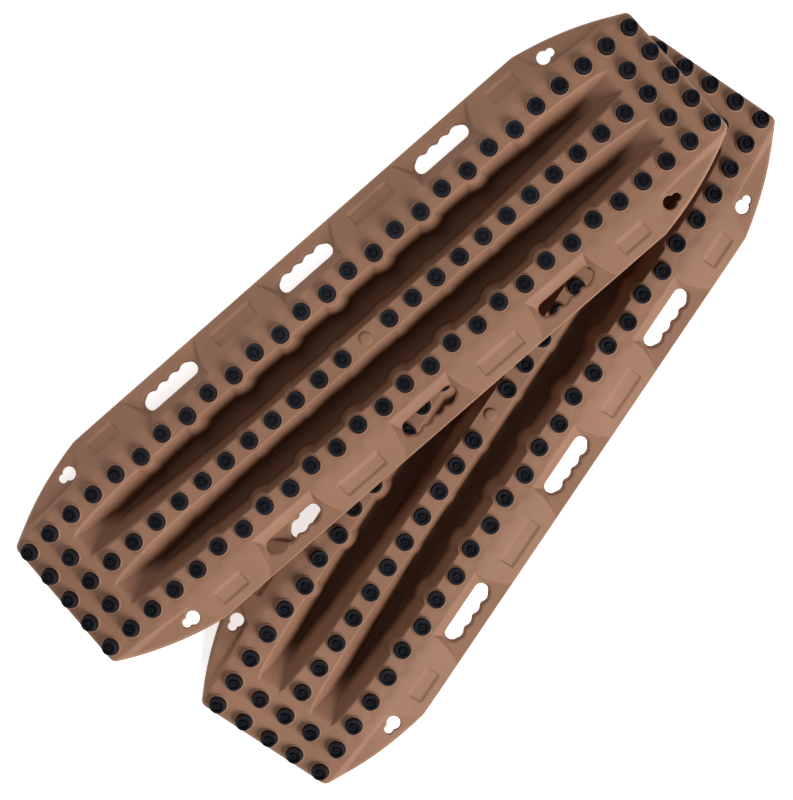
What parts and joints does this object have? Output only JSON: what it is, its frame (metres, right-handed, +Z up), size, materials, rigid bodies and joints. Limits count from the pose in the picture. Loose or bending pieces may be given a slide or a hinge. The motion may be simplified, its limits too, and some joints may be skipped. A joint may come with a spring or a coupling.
{
  "type": "tire traction mats",
  "caption": "Two moulded traction boards with raised metal-toothed rows, deep valleys, side handle slots and drooping ends, one lying across the other.",
  "frame": {"origin": "middle of the pair's bounding box, on the ground", "axes": "+Z up, +X along the lower board towards the end where the two boards cross, +Y towards the upper board's free side"},
  "size_m": [1.1797, 0.6406, 0.1425],
  "materials": {
    "moulding": "moulded tan-brown nylon, fine satin grain",
    "tooth": "black anodised, satin",
    "screw": "black oxide",
    "nut": "plain bright"
  },
  "bodies": {
    "lower_board": {"lower_board_shell": "moulding", "lower_board_left_teeth": "tooth", "lower_board_left_screws": "screw", "lower_board_left_nuts": "nut", "lower_board_centre_teeth": "tooth", "lower_board_centre_screws": "screw", "lower_board_centre_nuts": "nut", "lower_board_right_teeth": "tooth", "lower_board_right_screws": "screw", "lower_board_right_nuts": "nut", "lower_board_front_end_teeth": "tooth", "lower_board_front_end_screws": "screw", "lower_board_front_end_nuts": "nut", "lower_board_rear_end_teeth": "tooth", "lower_board_rear_end_screws": "screw", "lower_board_rear_end_nuts": "nut"},
    "upper_board": {"upper_board_shell": "moulding", "upper_board_left_teeth": "tooth", "upper_board_left_screws": "screw", "upper_board_left_nuts": "nut", "upper_board_centre_teeth": "tooth", "upper_board_centre_screws": "screw", "upper_board_centre_nuts": "nut", "upper_board_right_teeth": "tooth", "upper_board_right_screws": "screw", "upper_board_right_nuts": "nut", "upper_board_front_end_teeth": "tooth", "upper_board_front_end_screws": "screw", "upper_board_front_end_nuts": "nut", "upper_board_rear_end_teeth": "tooth", "upper_board_rear_end_screws": "screw", "upper_board_rear_end_nuts": "nut"}
  },
  "joints": [
    {"name": "upper_board_lift", "type": "slide", "parent": "lower_board", "child": "upper_board", "axis": [0, 0, 1], "range_m": [0, 0.2]}
  ]
}
